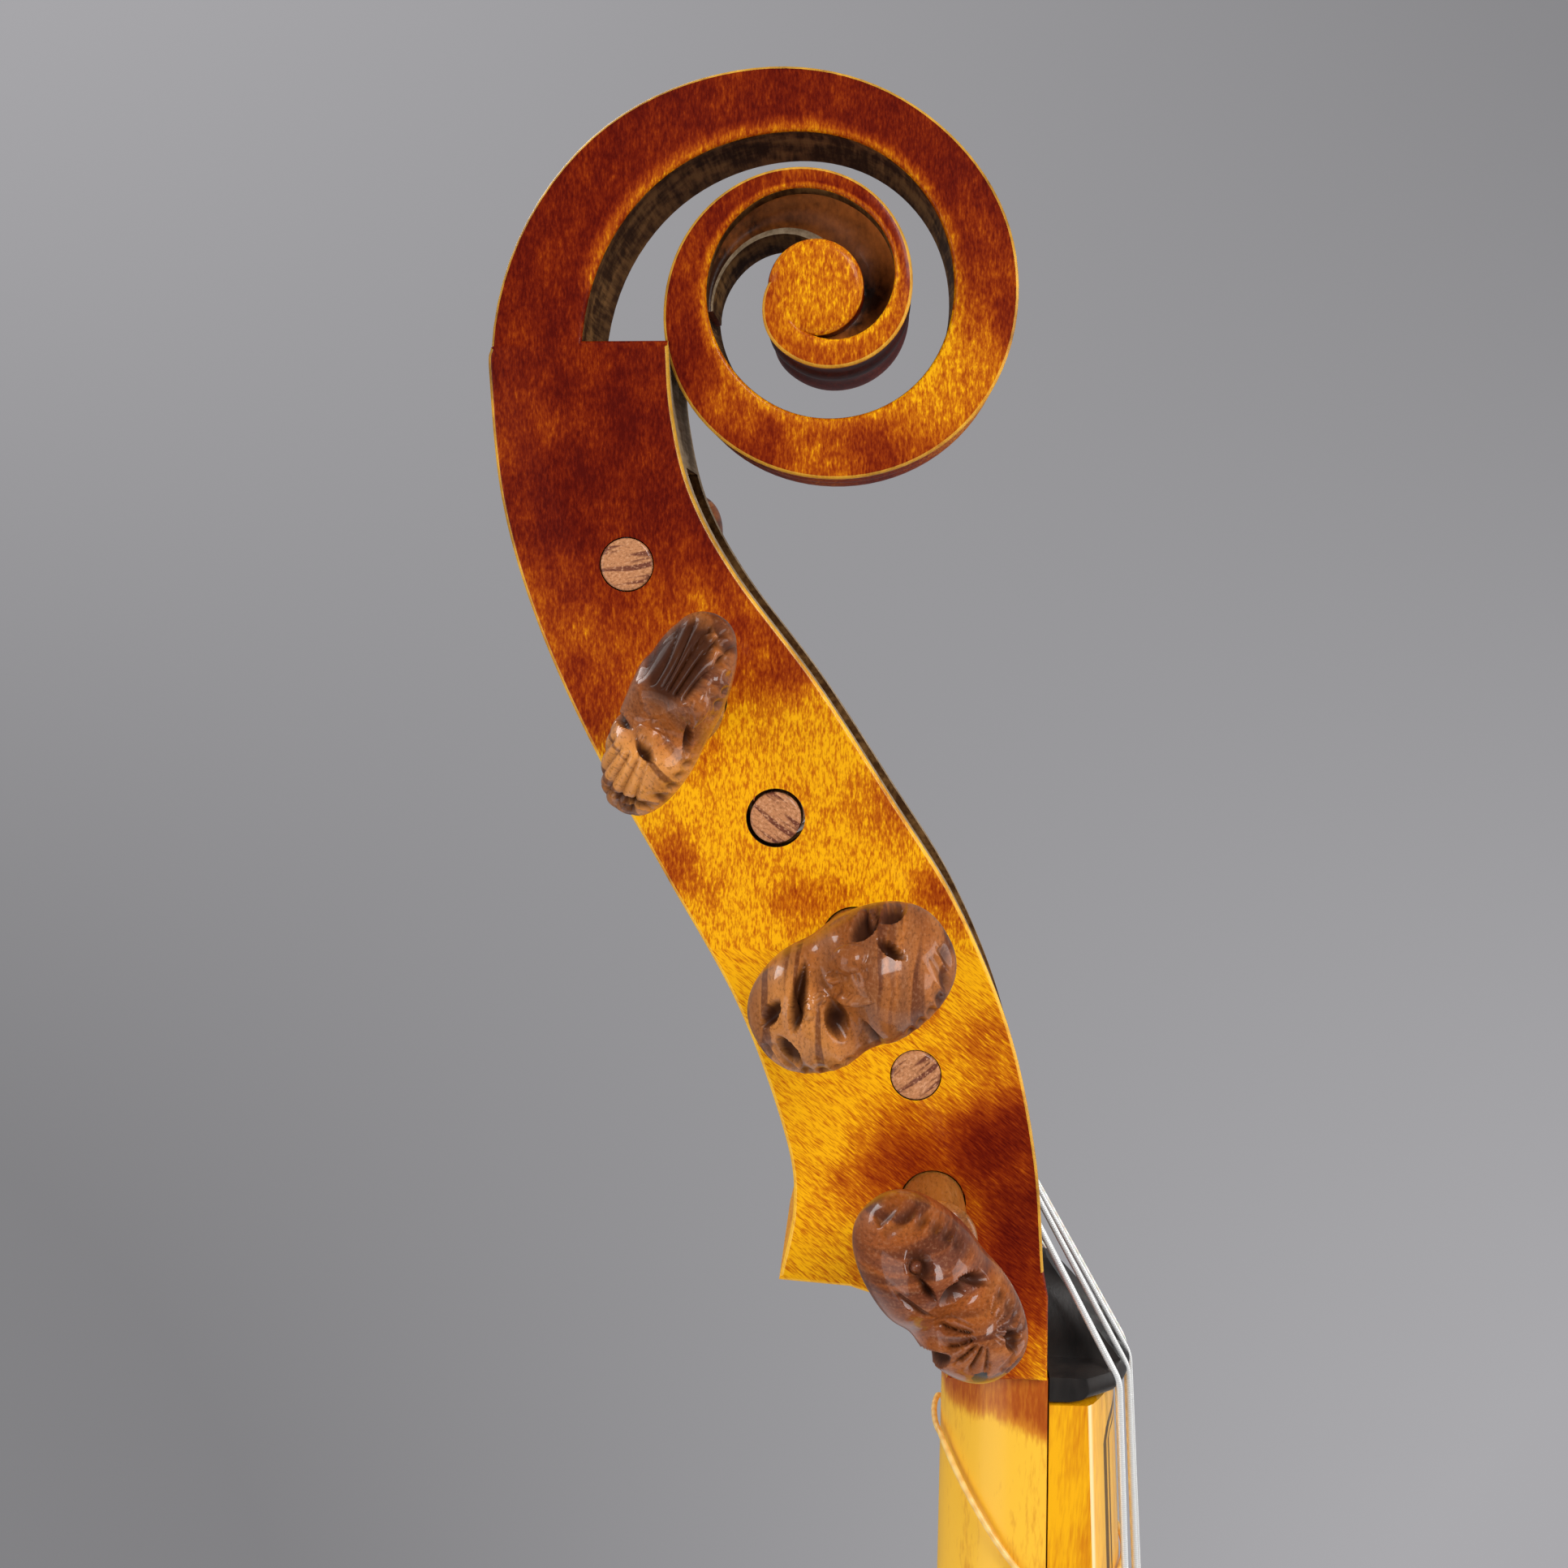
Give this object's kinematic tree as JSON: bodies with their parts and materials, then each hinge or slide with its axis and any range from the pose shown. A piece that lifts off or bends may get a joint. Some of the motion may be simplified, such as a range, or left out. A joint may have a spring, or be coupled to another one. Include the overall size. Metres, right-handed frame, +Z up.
{
  "type": "bass viol",
  "caption": "Bass viol with open scroll, carved pegs, tied gut frets, arched belly with C-shaped sound holes, flat back folded forward near the neck, bridge, tailpiece and hook bar.",
  "frame": {"origin": "middle of the hook bar's flat lower end, under the bottom of the body", "axes": "+Z up along the body towards the scroll, -Y out of the belly towards the strings, -X the bass side"},
  "size_m": [0.401, 0.2302, 1.2603],
  "materials": {
    "varnished_maple": "glossy amber to red-brown oil varnish on figured maple",
    "varnished_spruce": "glossy amber varnish on straight-grained spruce",
    "bare_spruce": "plain unvarnished spruce",
    "ebony": "polished ebony",
    "rosewood": "polished streaked rosewood",
    "bridge_maple": "plain satin maple",
    "gut": "translucent pale gut",
    "wound_string": "close-wound silvery string"
  },
  "bodies": {
    "root": {"back": "varnished_maple", "back_lining_lower_bass": "bare_spruce", "back_lining_lower_treble": "bare_spruce", "back_lining_upper_bass": "bare_spruce", "back_lining_upper_treble": "bare_spruce", "back_lining_waist_bass": "bare_spruce", "back_lining_waist_treble": "bare_spruce", "bass_bar": "bare_spruce", "belly": "varnished_spruce", "belly_lining_lower_bass": "bare_spruce", "belly_lining_lower_treble": "bare_spruce", "belly_lining_upper_bass": "bare_spruce", "belly_lining_upper_treble": "bare_spruce", "belly_lining_waist_bass": "bare_spruce", "belly_lining_waist_treble": "bare_spruce", "bottom_block": "bare_spruce", "bridge": "bridge_maple", "fingerboard": "varnished_maple", "fold_brace": "bare_spruce", "head": "varnished_maple", "hook_bar": "varnished_maple", "lower_brace": "bare_spruce", "lower_corner_block_bass": "bare_spruce", "lower_corner_block_treble": "bare_spruce", "lower_rib_bass": "varnished_maple", "lower_rib_treble": "varnished_maple", "neck": "varnished_maple", "nut": "ebony", "post_brace": "bare_spruce", "sound_post": "bare_spruce", "string_1": "gut", "string_2": "gut", "string_3": "gut", "string_4": "wound_string", "string_5": "wound_string", "string_6": "wound_string", "tailpiece": "ebony", "top_block": "bare_spruce", "upper_corner_block_bass": "bare_spruce", "upper_corner_block_treble": "bare_spruce", "upper_rib_bass": "varnished_maple", "upper_rib_treble": "varnished_maple", "waist_rib_bass": "varnished_maple", "waist_rib_treble": "varnished_maple"},
    "peg_1": {"peg_1": "rosewood"},
    "peg_2": {"peg_2": "rosewood"},
    "peg_3": {"peg_3": "rosewood"},
    "peg_4": {"peg_4": "rosewood"},
    "peg_5": {"peg_5": "rosewood"},
    "peg_6": {"peg_6": "rosewood"},
    "fret_1": {"fret_1": "gut"},
    "fret_2": {"fret_2": "gut"},
    "fret_3": {"fret_3": "gut"},
    "fret_4": {"fret_4": "gut"},
    "fret_5": {"fret_5": "gut"},
    "fret_6": {"fret_6": "gut"},
    "fret_7": {"fret_7": "gut"}
  },
  "joints": [
    {"name": "peg_1_turn", "type": "hinge", "parent": "root", "child": "peg_1", "pos_m": [0, 0.04082, 1.16424], "axis": [1, 0, 0], "continuous": true},
    {"name": "peg_2_turn", "type": "hinge", "parent": "root", "child": "peg_2", "pos_m": [0, 0.02606, 1.13941], "axis": [-1, 0, 0], "continuous": true},
    {"name": "peg_3_turn", "type": "hinge", "parent": "root", "child": "peg_3", "pos_m": [0, 0.00869, 1.11757], "axis": [1, 0, 0], "continuous": true},
    {"name": "peg_4_turn", "type": "hinge", "parent": "root", "child": "peg_4", "pos_m": [0, -0.00832, 1.0951], "axis": [-1, 0, 0], "continuous": true},
    {"name": "peg_5_turn", "type": "hinge", "parent": "root", "child": "peg_5", "pos_m": [0, -0.02213, 1.0696], "axis": [1, 0, 0], "continuous": true},
    {"name": "peg_6_turn", "type": "hinge", "parent": "root", "child": "peg_6", "pos_m": [0, -0.02728, 1.0447], "axis": [-1, 0, 0], "continuous": true},
    {"name": "fret_1_slide", "type": "slide", "parent": "root", "child": "fret_1", "axis": [0, 0.0698, 0.9976], "range_m": [-0.004, 0.004]},
    {"name": "fret_2_slide", "type": "slide", "parent": "root", "child": "fret_2", "axis": [0, 0.0698, 0.9976], "range_m": [-0.004, 0.004]},
    {"name": "fret_3_slide", "type": "slide", "parent": "root", "child": "fret_3", "axis": [0, 0.0698, 0.9976], "range_m": [-0.004, 0.004]},
    {"name": "fret_4_slide", "type": "slide", "parent": "root", "child": "fret_4", "axis": [0, 0.0698, 0.9976], "range_m": [-0.004, 0.004]},
    {"name": "fret_5_slide", "type": "slide", "parent": "root", "child": "fret_5", "axis": [0, 0.0698, 0.9976], "range_m": [-0.004, 0.004]},
    {"name": "fret_6_slide", "type": "slide", "parent": "root", "child": "fret_6", "axis": [0, 0.0698, 0.9976], "range_m": [-0.004, 0.004]},
    {"name": "fret_7_slide", "type": "slide", "parent": "root", "child": "fret_7", "axis": [0, 0.0698, 0.9976], "range_m": [-0.004, 0.004]}
  ]
}
